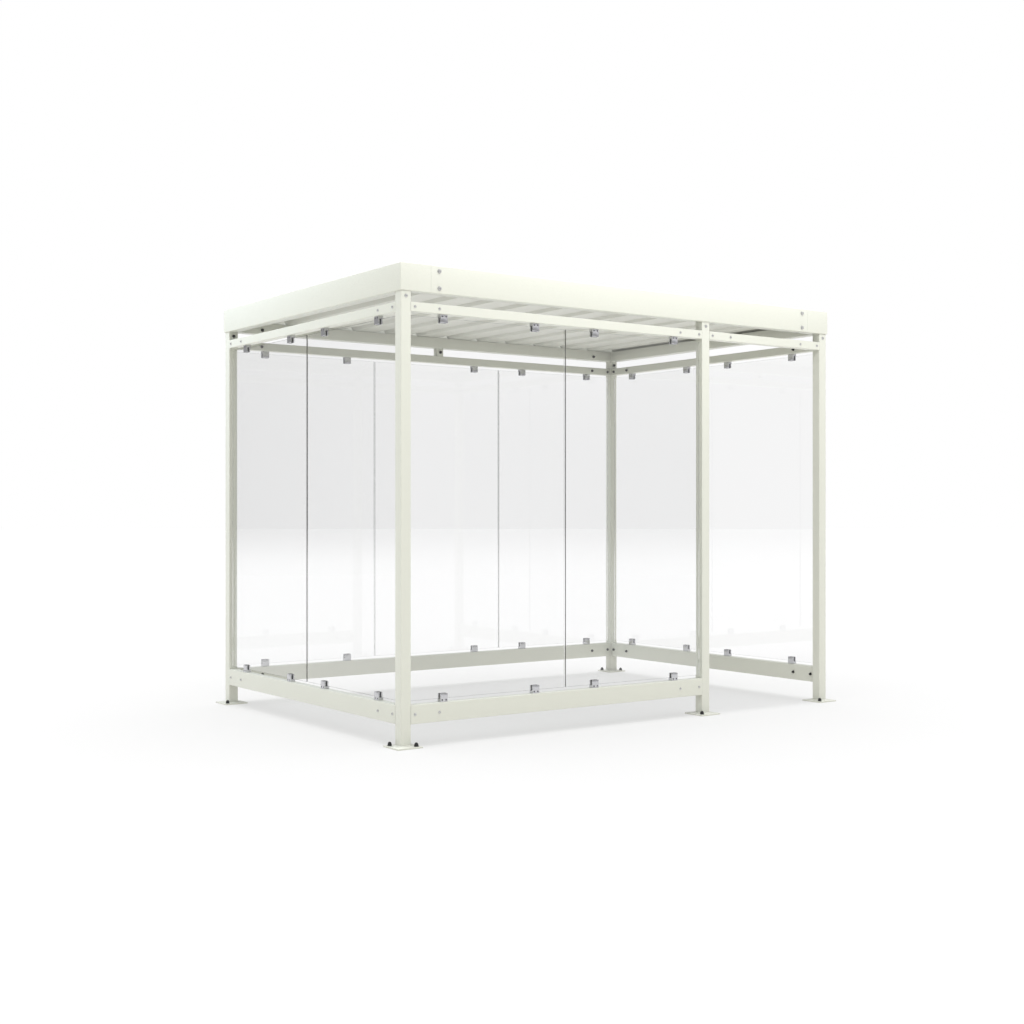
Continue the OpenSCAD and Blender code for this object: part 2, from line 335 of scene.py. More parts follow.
def makeGlass():
    material, tree, shader = newFinish(
        "safetyGlass", Roughness=0.0, IOR=glassLook["refraction"], Transmission_Weight=1.0)
    place = addNode(tree, "ShaderNodeTexCoord").outputs["Object"]
    bumpFrom(tree, shader, noiseOf(tree, place, glassLook["waveSize"], detail=1.0), glassLook["waveHeight"])
    film = placeGroup(tree, toneDrift, Color=glassLook["tint"], Amount=glassLook["drift"],
                      Patch_size=glassLook["driftPatch"])
    tree.links.new(film.outputs["Color"], shader.inputs["Base Color"])
    clear = addNode(tree, "ShaderNodeBsdfTransparent", Color=glassLook["shade"])
    path = addNode(tree, "ShaderNodeLightPath")
    passes = mathOf(tree, "MAXIMUM", path.outputs["Is Shadow Ray"], path.outputs["Is Diffuse Ray"])
    mix = addNode(tree, "ShaderNodeMixShader")
    tree.links.new(passes, mix.inputs[0])
    tree.links.new(shader.outputs[0], mix.inputs[1])
    tree.links.new(clear.outputs[0], mix.inputs[2])
    depth = addNode(tree, "ShaderNodeVolumeAbsorption", Color=glassLook["depth"],
                    Density=glassLook["density"])
    output = tree.nodes["Material Output"]
    tree.links.new(mix.outputs[0], output.inputs["Surface"])
    tree.links.new(depth.outputs[0], output.inputs["Volume"])
    return material


metalLook = {
    "clampMetal": {"color": (0.60, 0.60, 0.62, 1), "roughness": (0.16, 0.25),
                   "stretch": (0.03, 1, 1), "lineSize": 0.0007, "lineHeight": 0.00004},
    "boltSteel": {"color": (0.66, 0.66, 0.66, 1), "roughness": (0.208, 0.325),
                  "stretch": (1, 1, 1), "lineSize": 0.0016, "lineHeight": 0.00003},
}


def makeMetal(name):
    look = metalLook[name]
    material, tree, shader = newFinish(name, Metallic=1.0)
    drift = placeGroup(tree, toneDrift, Color=look["color"], Amount=0.05, Patch_size=0.02)
    tree.links.new(drift.outputs["Color"], shader.inputs["Base Color"])
    brushed = placeGroup(tree, drawnGrain, Stretch=look["stretch"], Line_size=look["lineSize"])
    roughnessFrom(tree, shader, brushed.outputs["Height"], look["roughness"])
    bumpFrom(tree, shader, brushed.outputs["Height"], look["lineHeight"])
    return material


rubberLook = {"color": (0.022, 0.022, 0.022, 1), "roughness": 0.75, "grainHeight": 0.00008}


def makeRubber():
    material, tree, shader = newFinish("blackRubber", Roughness=rubberLook["roughness"])
    drift = placeGroup(tree, toneDrift, Color=rubberLook["color"], Amount=0.2, Patch_size=0.01)
    tree.links.new(drift.outputs["Color"], shader.inputs["Base Color"])
    grain = placeGroup(tree, coatGrain, Peel_size=0.0006, Wave_size=0.01)
    bumpFrom(tree, shader, grain.outputs["Height"], rubberLook["grainHeight"])
    return material


capLook = {
    "color": (0.014, 0.014, 0.015, 1),
    "dustShare": 0.05,
    "dustReach": 0.05,
    "roughness": (0.36, 0.5),
    "grainHeight": 0.00003,
}


def makeBlackCap():
    material, tree, shader = newFinish("blackCap")
    drift = placeGroup(tree, toneDrift, Color=capLook["color"], Amount=0.2, Patch_size=0.01)
    dust = placeGroup(tree, floorDust, Reach=capLook["dustReach"], Speck_size=0.004)
    dusty = mixColor(tree, dust.outputs["Mask"], capLook["dustShare"], drift.outputs["Color"],
                     paintLook["dust"])
    tree.links.new(dusty, shader.inputs["Base Color"])
    grain = placeGroup(tree, coatGrain, Peel_size=0.0004, Wave_size=0.006)
    roughnessFrom(tree, shader, grain.outputs["Peel"], capLook["roughness"])
    bumpFrom(tree, shader, grain.outputs["Height"], capLook["grainHeight"])
    return material


framePaint = makeFramePaint()
roofPaint = makeRoofPaint()
safetyGlass = makeGlass()
clampMetal = makeMetal("clampMetal")
boltSteel = makeMetal("boltSteel")
blackRubber = makeRubber()
blackCap = makeBlackCap()
print("finishes made")


# ---- mesh helpers ----

def meshOf(shape, name):
    mesh = bpy.data.meshes.new(name)
    shape.to_mesh(mesh)
    shape.free()
    return mesh


def shadeSmooth(mesh, sharpAngle=32):   # but for edges that turn by more than the angle
    mesh.polygons.foreach_set("use_smooth", [True] * len(mesh.polygons))
    mesh.set_sharp_from_angle(angle=math.radians(sharpAngle))
    return mesh


def finishMesh(shape, name, sharpAngle=32):
    bmesh.ops.remove_doubles(shape, verts=shape.verts, dist=1e-6)
    bmesh.ops.recalc_face_normals(shape, faces=shape.faces)
    return shadeSmooth(meshOf(shape, name), sharpAngle)


def addObject(name, data):
    made = bpy.data.objects.new(name, data)
    scene.collection.objects.link(made)
    return made


def addPiece(mesh, name, finish, stands=None):
    piece = addObject(name, mesh)
    piece.data.materials.append(finish)
    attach(piece, "root")
    if stands:
        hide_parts(stands)
    return piece


def bevelSharp(shape, width, segments, angle=30):
    limit = math.radians(angle)
    edges = [e for e in shape.edges if e.is_manifold and e.calc_face_angle(0) > limit]
    bmesh.ops.bevel(shape, geom=edges, offset=width, segments=segments, profile=0.5,
                    affect="EDGES", clamp_overlap=True)


def softCopy(node, name, width, segments, finish):   # the node again with eased edges
    shape = bmesh.new()
    shape.from_mesh(nodes[node].data)
    bmesh.ops.remove_doubles(shape, verts=shape.verts, dist=1e-5)
    bmesh.ops.dissolve_limit(shape, angle_limit=math.radians(1), verts=shape.verts, edges=shape.edges)
    bevelSharp(shape, width, segments)
    return addPiece(finishMesh(shape, name), name, finish, stands=node)


def skinRings(rings, name, sharpAngle=32):   # rings of points in order, closed at both ends
    shape = bmesh.new()
    loops = [[shape.verts.new(point) for point in ring] for ring in rings]
    count = len(loops[0])
    for lower, upper in zip(loops, loops[1:]):
        for i in range(count):
            j = (i + 1) % count
            shape.faces.new((lower[i], lower[j], upper[j], upper[i]))
    shape.faces.new(list(reversed(loops[0])))
    shape.faces.new(loops[-1])
    return finishMesh(shape, name, sharpAngle)


def turnedMesh(name, rings, sides=24):
    # a solid of rings about +Z, sizes in mm: (radius, height), or (half across flats, height, 6)
    loops = []
    for radius, height, *corners in rings:
        loop = []
        for step in range(sides):
            turn = 2 * math.pi * step / sides
            reach = radius
            if corners:
                flat = 2 * math.pi / corners[0]
                reach = radius / math.cos(turn % flat - flat / 2)
            loop.append(Vector((reach * math.cos(turn), reach * math.sin(turn), height)) * mm)
        loops.append(loop)
    return skinRings(loops, name)


def domeRings(radius, bottom, height, endShare, steps=6):
    # part of a round dome, from its rim up to where its radius is the end share of the rim's
    last = math.acos(endShare)
    return [(radius * math.cos(last * i / steps),
             bottom + height * math.sin(last * i / steps) / math.sin(last)) for i in range(steps + 1)]


def facing(point, direction, turn=0.0):
    aim = up.rotation_difference(Vector(direction)).to_matrix().to_4x4()
    return Matrix.Translation(point) @ aim @ Matrix.Rotation(turn, 4, "Z")


def joinCopies(master, matrices, name):
    joined = bmesh.new()
    for matrix in matrices:
        start = len(joined.verts)
        joined.from_mesh(master)
        joined.verts.ensure_lookup_table()
        bmesh.ops.transform(joined, matrix=matrix, verts=joined.verts[start:])
    return shadeSmooth(meshOf(joined, name))


def addFasteners(master, name, places, finish, slot):   # no two neighbours are turned alike
    turns = [facing(point, direction, i * 0.7) for i, (point, direction) in enumerate(places)]
    return addPiece(joinCopies(master, turns, name), name, finish)


def filletOutline(corners, radii, steps=4):
    # a closed outline with each corner rounded to its own radius
    outline = []
    count = len(corners)
    for i, corner in enumerate(corners):
        here = Vector(corner)
        back = Vector(corners[i - 1]) - here
        ahead = Vector(corners[(i + 1) % count]) - here
        if radii[i] == 0:
            outline.append(here)
            continue
        half = back.angle(ahead) / 2
        reach = min(radii[i] / math.tan(half), 0.48 * min(back.length, ahead.length))
        radius = reach * math.tan(half)
        centre = here + (back.normalized() + ahead.normalized()).normalized() * radius / math.sin(half)
        first = here + back.normalized() * reach - centre
        last = here + ahead.normalized() * reach - centre
        startTurn = math.atan2(first.y, first.x)
        sweep = math.atan2(last.y, last.x) - startTurn
        sweep = (sweep + math.pi) % (2 * math.pi) - math.pi
        for step in range(steps + 1):
            turn = startTurn + sweep * step / steps
            outline.append(centre + radius * Vector((math.cos(turn), math.sin(turn))))
    return outline


# ---- frame: posts, rails and the pieces that stay as the frame has them ----

for nodeName, node in nodes.items():
    for materialSlot in node.material_slots:
        materialSlot.material = blackRubber if nodeName.startswith("rubbers") else framePaint
print("frame painted")

baseLook = {"edge": 0.0012, "segments": 2}
softCopy("base_plates", "base_plates_eased", baseLook["edge"], baseLook["segments"],
         framePaint)

weldLook = {
    "leg": 0.005,
    "cornerRadius": 0.004,
    "ripple": 0.0003,
    "ripplePitch": 0.004,
    "toe": 0.0004,       # how thick the weld is at its two edges
    "buried": 0.001,     # into the post
    "sunk": 0.0005,      # into the plate
}


def makeFootWelds():
    # the fillet weld round each post's foot, painted over
    half = postSide / 2
    toe, buried, sunk = weldLook["toe"], weldLook["buried"], weldLook["sunk"]
    outline = filletOutline([(half, half), (-half, half), (-half, -half), (half, -half)],
                            [weldLook["cornerRadius"]] * 4, 6)
    path = []
    for i, here in enumerate(outline):
        ahead = outline[(i + 1) % len(outline)]
        steps = max(1, round((ahead - here).length / weldLook["ripplePitch"] * 2))
        path += [here.lerp(ahead, step / steps) for step in range(steps)]
    shape = bmesh.new()
    loops = []
    for i, here in enumerate(path):
        tangent = (path[(i + 1) % len(path)] - path[i - 1]).normalized()
        away = Vector((tangent.y, -tangent.x))
        if away.dot(here) < 0:
            away = -away
        leg = weldLook["leg"] + weldLook["ripple"] * (i % 2)
        section = [(-buried, -sunk), (leg, -sunk), (leg, toe), (leg * 0.62, leg * 0.30),
                   (leg * 0.30, leg * 0.62), (toe, leg), (-buried, leg)]
        loops.append([shape.verts.new((*(here + away * reach), height)) for reach, height in section])
    for i, loop in enumerate(loops):
        after = loops[(i + 1) % len(loops)]
        for j in range(len(loop)):
            k = (j + 1) % len(loop)
            shape.faces.new((loop[j], loop[k], after[k], after[j]))
    master = finishMesh(shape, "foot_weld")
    feet = []
    for name in ("front_left", "front_middle", "front_right", "back_left", "back_right"):
        low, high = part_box("post_" + name)
        feet.append(Matrix.Translation(((low.x + high.x) / 2, (low.y + high.y) / 2, plateTop)))
    addPiece(joinCopies(master, feet, "foot_welds"), "foot_welds", framePaint)


makeFootWelds()
print("feet done")


# ---- fascia: one folded channel profile, swept round the plan ----

fasciaLook = {
    "thickness": 0.003,
    "rim": 0.015,
    "seat": 0.025,
    "foldRadius": 0.004,       # outside of a fold
    "insideRadius": 0.0012,
    "cutEdge": 0.0005,
    "cornerRadius": 0.0025,    # the upright corners, welded and ground
}


def channelOutline():
    thick = fasciaLook["thickness"]
    rim = fasciaLook["rim"]
    web = channelHigh.y - (outY - postSide)       # outer face to the inner side
    seat = web - fasciaLook["seat"]
    corners = [
        (rim, fasciaTop), (0, fasciaTop), (0, fasciaBottom), (web, fasciaBottom), (web, seatTop),
        (seat, seatTop), (seat, seatTop - thick), (web - thick, seatTop - thick),
        (web - thick, fasciaBottom + thick), (thick, fasciaBottom + thick),
        (thick, fasciaTop - thick), (rim, fasciaTop - thick)]
    fold = fasciaLook["foldRadius"]
    inside = fasciaLook["insideRadius"]
    cut = fasciaLook["cutEdge"]
    radii = [cut] + [fold] * 4 + [cut] * 2 + [inside] * 4 + [cut]
    return filletOutline(corners, radii)


def straightRing(outline, x, side):   # a section across the front (-1) or the back (1)
    return [(x, side * (channelHigh.y - inset), height) for inset, height in outline]


def cornerRings(outline, sideX, sideY, steps=4):
    # sections round an upright corner, from the front or back face to the side face
    radius = fasciaLook["cornerRadius"]
    rings = []
    for step in range(steps + 1):
        turn = math.pi / 2 * (1 - step / steps)
        ring = []
        for inset, height in outline:
            reach = max(radius - inset, 0)
            middle = max(inset, radius)
            x = sideX * (-channelLow.x - middle + reach * math.cos(turn))
            y = sideY * (channelHigh.y - middle + reach * math.sin(turn))
            ring.append((x, y, height))
        rings.append(ring)
    return rings


def addFolded(name, rings):
    addPiece(skinRings(rings, name + "_folded", 40), name + "_folded", framePaint, name)


def makeFascia():
    outline = channelOutline()
    frontLow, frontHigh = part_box("fascia_front")
    for name, side in (("fascia_front", -1), ("fascia_back", 1)):
        addFolded(name, [straightRing(outline, x, side) for x in (frontLow.x, frontHigh.x)])
    for name, side in (("fascia_left", -1), ("fascia_right", 1)):
        low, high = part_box(name)
        seam = high.x if side < 0 else low.x
        rings = [straightRing(outline, seam, -1)] + cornerRings(outline, side, -1)
        rings += list(reversed(cornerRings(outline, side, 1))) + [straightRing(outline, seam, 1)]
        addFolded(name, rings)


makeFascia()
print("fascia done")


# ---- roof sheet ----

sheetLook = {
    "pitch": 0.25,
    "foot": 0.092,
    "top": 0.042,
    "firstRib": 0.112,      # from the outer faces of the left-hand posts
    "edgeRib": 0.030,       # extra width of the last rib, on its left
    "thickness": 0.001,
    "bend": 0.003,
}


def ribMiddles():
    low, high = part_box("roof_sheet")
    middles = []
    x = -outX + sheetLook["firstRib"]
    while x + sheetLook["foot"] / 2 < high.x + mm:
        middles.append(x)
        x += sheetLook["pitch"]
    return middles


def makeRoofSheet():
    low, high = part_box("roof_sheet")
    crest = high.z - sheetLook["thickness"]
    under = [(low.x, low.z)]
    ribs = ribMiddles()
    for x in ribs:
        extra = sheetLook["edgeRib"] if x == ribs[-1] else 0
        under += [(x - sheetLook["foot"] / 2 - extra, low.z), (x - sheetLook["top"] / 2 - extra, crest),
                  (x + sheetLook["top"] / 2, crest), (x + sheetLook["foot"] / 2, low.z)]
    under.append((high.x, low.z))
    over = [(x, z + sheetLook["thickness"]) for x, z in reversed(under)]
    radii = ([0] + [sheetLook["bend"]] * (len(under) - 2) + [0]) * 2
    outline = filletOutline(under + over, radii, 3)
    rings = [[(x, y, z) for x, z in outline] for y in (high.y, low.y)]
    addPiece(skinRings(rings, "roof_sheet_rolled", 50), "roof_sheet_rolled", roofPaint,
             "roof_sheet")


makeRoofSheet()
print("roof done")


# ---- glass ----

paneLook = {"arris": 0.0005}
panes = [name for name in nodes if name.startswith("glass_")]
for pane in panes:
    softCopy(pane, pane.replace("glass", "pane"), paneLook["arris"], 1, safetyGlass)
print("panes:", len(panes))


# ---- glass clamps ----

clampLook = {
    "width": 0.045,
    "height": 0.045,
    "depth": 0.030,
    "freeRadius": 0.004,
    "slot": 0.012,
    "foot": 0.016,
    "edge": 0.0006,
    "inset": 0.205,          # middle of a clamp from the edge of its pane
    "screwDown": 0.0105,     # screw from the rail
    "screwApart": 0.024,
    "screwSink": 0.0046,     # radius of the countersink at the face
    "screwDepth": 0.008,
}


def cutAway(body, cutters):
    for cutter in cutters:
        cut = body.modifiers.new("cut", "BOOLEAN")
        cut.operation = "DIFFERENCE"
        cut.solver = "EXACT"
        cut.object = cutter
    bpy.context.view_layer.update()
    result = bpy.data.meshes.new_from_object(body.evaluated_get(bpy.context.evaluated_depsgraph_get()))
    for used in [body, *cutters]:
        bpy.data.objects.remove(used)
    return result


def looseObject(mesh, matrix=Matrix.Identity(4)):
    loose = addObject("loose", mesh)
    loose.matrix_world = matrix
    return loose


def screwPlaces():   # on the clamp's outer face, in the clamp's own frame
    return [Vector((side * clampLook["screwApart"] / 2, -clampLook["depth"] / 2, -clampLook["screwDown"]))
            for side in (-1, 1)]


def makeClampMaster():
    half = clampLook["width"] / 2
    free = clampLook["freeRadius"]
    outline = filletOutline([(-half, 0), (-half, -clampLook["height"]), (half, -clampLook["height"]),
                             (half, 0)], [0, free, free, 0], 6)
    rings = [[(x, y, z) for x, z in outline] for y in (-clampLook["depth"] / 2, clampLook["depth"] / 2)]
    block = looseObject(skinRings(rings, "clamp_block"))
    reach = clampLook["width"]      # takes the cutter out past the block
    slotHalf = clampLook["slot"] / 2
    slotRing = [(slotHalf, -clampLook["foot"]), (slotHalf, -reach * 2), (-slotHalf, -reach * 2),
                (-slotHalf, -clampLook["foot"])]
    slotCut = looseObject(skinRings([[(x, y, z) for y, z in slotRing] for x in (-reach, reach)], "slot_cut"))
    sink = clampLook["screwSink"] / mm
    bottom = -clampLook["screwDepth"] / mm
    hole = turnedMesh("screw_hole", [(sink, 1), (sink, 0), (sink * 0.5, -sink * 0.5), (sink * 0.5, bottom)])
    holes = [looseObject(hole, facing(point, outward["front"])) for point in screwPlaces()]
    shape = bmesh.new()
    shape.from_mesh(cutAway(block, [slotCut, *holes]))
    bmesh.ops.remove_doubles(shape, verts=shape.verts, dist=1e-6)
    bmesh.ops.dissolve_limit(shape, angle_limit=math.radians(1), verts=shape.verts, edges=shape.edges)
    bevelSharp(shape, clampLook["edge"], 2, angle=40)
    return finishMesh(shape, "clamp")


def clampPlaces(pane):
    # two clamps under the top rail and two on the bottom rail, for one pane
    side = sideOf(pane)
    low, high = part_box(pane)
    middle = (low + high) / 2
    along = outward[side].cross(up)
    halfLength = abs((high - low).dot(along)) / 2
    turn = Matrix.Rotation(math.radians(wallTurn[side]), 4, "Z")
    flip = Matrix.Rotation(math.pi, 4, "Y")
    places = []
    for end in (-1, 1):
        point = middle + along * end * (halfLength - clampLook["inset"])
        places.append(Matrix.Translation((point.x, point.y, topRailBottom)) @ turn)
        places.append(Matrix.Translation((point.x, point.y, bottomRailTop)) @ turn @ flip)
    return places


screwLook = {"radius": 4.3, "length": 6.0, "socket": 1.5, "socketDepth": 1.8, "below": 0.3}   # mm


def makeClampScrew():
    radius = screwLook["radius"]
    socket = screwLook["socket"]
    top = -screwLook["below"]
    bottom = top - screwLook["socketDepth"]
    return turnedMesh("clamp_screw", [
        (radius * 0.5, -screwLook["length"]), (radius * 0.5, -radius * 0.6), (radius, top - 0.5),
        (radius, top - 0.15), (radius - 0.2, top), (socket * 1.3, top), (socket, top, 6),
        (socket, bottom, 6), (0.3, bottom - 0.5)])


def makeClamps():
    master = makeClampMaster()
    screw = makeClampScrew()
    screws = []
    for side in wallTurn:
        places = [place for pane in panes if sideOf(pane) == side for place in clampPlaces(pane)]
        name = "clamps_" + side
        eased = name + "_eased"
        addPiece(joinCopies(master, places, eased), eased, clampMetal, name)
        screws += [place @ facing(point, outward["front"]) for place in places for point in screwPlaces()]
    addPiece(joinCopies(screw, screws, "clamp_screws"), "clamp_screws", blackCap)


makeClamps()
print("clamps done")


# ---- bolts, cap nuts and anchors (sizes in mm) ----

railBolt = {"head": 7.0, "height": 4.4, "washer": 8.0, "washerThickness": 1.4, "socket": 2.5}
postBolt = {"head": 8.75, "height": 5.5, "washer": 10.0, "washerThickness": 1.8, "socket": 3.0}
fasciaBolt = {"flats": 9.0, "height": 6.5, "washer": 12.0, "washerThickness": 2.0}
railNut = {"flats": 7.5, "height": 13.0, "washer": 9.5, "washerThickness": 1.5}
postNut = {"flats": 8.5, "height": 14.5, "washer": 10.0, "washerThickness": 1.8}
anchorNut = {"flats": 10.5, "height": 18.5, "washer": 12.5, "washerThickness": 2.2}
capShape = {"shoulder": 0.40, "dome": 0.97}   # shares of a cap nut's height and of its flats


def washerRings(size):
    radius = size["washer"]
    thick = size["washerThickness"]
    return [(radius - 0.3, 0), (radius, 0.3), (radius, thick - 0.3), (radius - 0.3, thick)]


def buttonHead(name, size):
    base = size["washerThickness"]
    socket = size["socket"]
    endShare = socket * 1.35 / size["head"]
    rings = washerRings(size) + [(size["head"], base), (size["head"], base + 0.8)]
    rings += domeRings(size["head"] - 0.15, base + 1.0, size["height"] - 1.0, endShare)
    top = base + size["height"]
    return turnedMesh(name, rings + [(socket * 1.2, top), (socket, top - 0.2, 6),
                                     (socket, top - size["height"] * 0.6, 6), (0.4, base + 1.2)])


def hexHead(name, size):
    base = size["washerThickness"]
    flats = size["flats"]
    top = base + size["height"]
    return turnedMesh(name, washerRings(size) + [
        (flats - 0.3, base), (flats, base + 0.4, 6), (flats, top - 1.4, 6),
        (flats * 0.97, top - 0.35), (flats * 0.90, top), (flats * 0.5, top)])


def capNut(name, size):
    base = size["washerThickness"]
    flats = size["flats"]
    shoulder = base + size["height"] * capShape["shoulder"]
    domeHeight = base + size["height"] - shoulder - 0.4
    rings = washerRings(size) + [(flats - 0.3, base), (flats, base + 0.4, 6), (flats, shoulder - 0.8, 6),
                                 (flats * 0.98, shoulder)]
    rings += domeRings(flats * capShape["dome"], shoulder + 0.4, domeHeight, endShare=0.12, steps=8)
    return turnedMesh(name, rings)


boltPlaces = {
    "railEnd": 0.025,          # from the end of a rail, mid-height
    "railSecond": 0.175,
    "fasciaSide": 0.229,       # fascia bolts, from the outer faces of the posts
    "fasciaUp": (0.026, 0.116),
    "anchor": 0.050,           # from the middle of a base plate
    "fasciaBehind": 0.007,     # fascia and splice plate together
}


def railBoltPlaces(direction):   # direction 1 is the outside, -1 the inside
    places = []
    for name in nodes:
        if "_rail_" not in name:
            continue
        side = "front" if name.endswith("doorway") else sideOf(name)
        low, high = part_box(name)
        look = outward[side] * direction
        along = look.cross(up)
        halfLength = abs((high - low).dot(along)) / 2
        for end in (-1, 1):
            for reach in (boltPlaces["railEnd"], boltPlaces["railSecond"]):
                places.append((faceMiddle(name, look) + along * end * (halfLength - reach), look))
    return places


def postBoltPlaces(direction):
    places = []
    height = (topRailTop + fasciaBottom) / 2
    for name in nodes:
        if name.startswith("post_") or name == "stub_back":
            look = outward["front" if "front" in name else "back"] * direction
            point = faceMiddle(name, look)
            point.z = height
            places.append((point, look))
    return places


def fasciaBoltPlaces(kind):   # "head", "upper" nuts behind the splices, or "lower" nuts on the inner side
    places = []
    for side, sign in (("front", -1), ("back", 1)):
        for end in (-1, 1):
            x = end * (outX - boltPlaces["fasciaSide"])
            lower = fasciaBottom + boltPlaces["fasciaUp"][0]
            upper = fasciaBottom + boltPlaces["fasciaUp"][1]
            if kind == "head":
                places += [(Vector((x, sign * channelHigh.y, z)), outward[side]) for z in (lower, upper)]
            elif kind == "upper":
                behind = channelHigh.y - boltPlaces["fasciaBehind"]
                places.append((Vector((x, sign * behind, upper)), -outward[side]))
            else:
                places.append((Vector((x, sign * (outY - postSide), lower)), -outward[side]))
    return places


def anchorPlaces():
    # on one diagonal of each plate, as the plates' holes run
    places = []
    for name, turn in (("front_left", -1), ("front_middle", 1), ("front_right", 1),
                       ("back_left", 1), ("back_right", -1)):
        low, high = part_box("post_" + name)
        middle = (low + high) / 2
        for end in (-1, 1):
            offset = Vector((end, end * turn, 0)) * boltPlaces["anchor"]
            places.append((Vector((middle.x, middle.y, plateTop)) + offset, up))
    return places


def makeBolts():
    steel = (boltSteel, "bolt_steel")
    black = (blackCap, "black_cap")
    addFasteners(buttonHead("rail_bolt", railBolt), "rail_bolts", railBoltPlaces(1), *steel)
    addFasteners(capNut("rail_nut", railNut), "rail_nuts", railBoltPlaces(-1), *black)
    addFasteners(buttonHead("post_bolt", postBolt), "post_bolts", postBoltPlaces(1), *steel)
    addFasteners(capNut("post_nut", postNut), "post_nuts", postBoltPlaces(-1), *black)
    addFasteners(hexHead("fascia_bolt", fasciaBolt), "fascia_bolts", fasciaBoltPlaces("head"), *steel)
    nuts = fasciaBoltPlaces("upper") + fasciaBoltPlaces("lower")
    addFasteners(capNut("fascia_nut", postNut), "fascia_nuts", nuts, *black)
    addFasteners(capNut("anchor_nut", anchorNut), "anchor_nuts", anchorPlaces(), *black)


makeBolts()

roofScrew = {"flats": 4.0, "height": 5.0, "washer": 8.0, "washerThickness": 2.0, "seatMiddle": 0.051}


def makeRoofScrews():
    # one in each pan, over the seat at the front and the back
    ribs = ribMiddles()
    level = seatTop + sheetLook["thickness"]
    places = []
    for rib in ribs[:-1]:
        for sign in (-1, 1):
            x = rib + sheetLook["pitch"] / 2
            places.append((Vector((x, sign * (outY - roofScrew["seatMiddle"]), level)), up))
    addFasteners(hexHead("roof_screw", roofScrew), "roof_screws", places, boltSteel, "bolt_steel")


makeRoofScrews()
print("fasteners done")


# ---- floor, light and camera ----

white = (1, 1, 1, 1)
roundSides = 96


def seenRays(tree):   # 1 for what the camera sees directly, in a reflection or through glass
    path = addNode(tree, "ShaderNodeLightPath")
    mirrored = mathOf(tree, "MAXIMUM", path.outputs["Is Glossy Ray"], path.outputs["Is Transmission Ray"])
    return mathOf(tree, "MAXIMUM", path.outputs["Is Camera Ray"], mirrored)


skyLook = {"low": 0.10, "high": 1.40}   # its strength on the object, at the horizon and overhead


def makeWorld():
    world = bpy.data.worlds.new("whiteStudio")
    scene.world = world
    world.use_nodes = True
    tree = world.node_tree
    tree.nodes.clear()
    direction = addNode(tree, "ShaderNodeSeparateXYZ")
    tree.links.new(addNode(tree, "ShaderNodeTexCoord").outputs["Generated"], direction.inputs[0])
    strength = spreadOf(tree, direction.outputs["Z"], 0, 1, skyLook["low"], skyLook["high"])
    dome = addNode(tree, "ShaderNodeBackground", Color=white)
    tree.links.new(strength, dome.inputs["Strength"])
    seen = addNode(tree, "ShaderNodeBackground", Color=white, Strength=1.0)
    mix = addNode(tree, "ShaderNodeMixShader")
    output = addNode(tree, "ShaderNodeOutputWorld")
    tree.links.new(seenRays(tree), mix.inputs[0])
    tree.links.new(dome.outputs[0], mix.inputs[1])
    tree.links.new(seen.outputs[0], mix.inputs[2])
    tree.links.new(mix.outputs[0], output.inputs["Surface"])


def emptyMaterial(name):
    material = bpy.data.materials.new(name)
    material.use_nodes = True
    material.node_tree.nodes.clear()
    return material, material.node_tree


floorLook = {   # a glow and a lit grey together
    "glow": 0.47,
    "grey": 0.48,
    "warm": (1.0, 0.985, 0.945, 1),   # of the light it throws back
    "radius": 90.0,
}


def makeFloor():
    material, tree = emptyMaterial("paleFloor")
    hue = addNode(tree, "ShaderNodeMix", data_type="RGBA")
    hue.inputs["A"].default_value = floorLook["warm"]
    hue.inputs["B"].default_value = white
    tree.links.new(seenRays(tree), hue.inputs["Factor"])
    grey = addNode(tree, "ShaderNodeVectorMath", operation="SCALE", Scale=floorLook["grey"])
    tree.links.new(hue.outputs["Result"], grey.inputs[0])
    lit = addNode(tree, "ShaderNodeBsdfDiffuse")
    glow = addNode(tree, "ShaderNodeEmission", Strength=floorLook["glow"])
    both = addNode(tree, "ShaderNodeAddShader")
    output = addNode(tree, "ShaderNodeOutputMaterial")
    tree.links.new(grey.outputs[0], lit.inputs["Color"])
    tree.links.new(hue.outputs["Result"], glow.inputs["Color"])
    tree.links.new(lit.outputs[0], both.inputs[0])
    tree.links.new(glow.outputs[0], both.inputs[1])
    tree.links.new(both.outputs[0], output.inputs["Surface"])
    shape = bmesh.new()
    bmesh.ops.create_circle(shape, cap_ends=True, segments=roundSides, radius=floorLook["radius"])
    floor = addObject("floor", meshOf(shape, "floor"))
    floor.data.materials.append(material)


wallLook = {
    "radius": 20.0,
    "height": 25.0,
    "foot": 1.0,               # the wall darkens over this height above the floor
    "fade": 8.0,               # and grows white again from here up
    "depth": (0.55, 0.60),     # how dark, on the left and on the right
    "stretch": (1.0, 0.20),    # of the fade's two heights, on the left and on the right
}


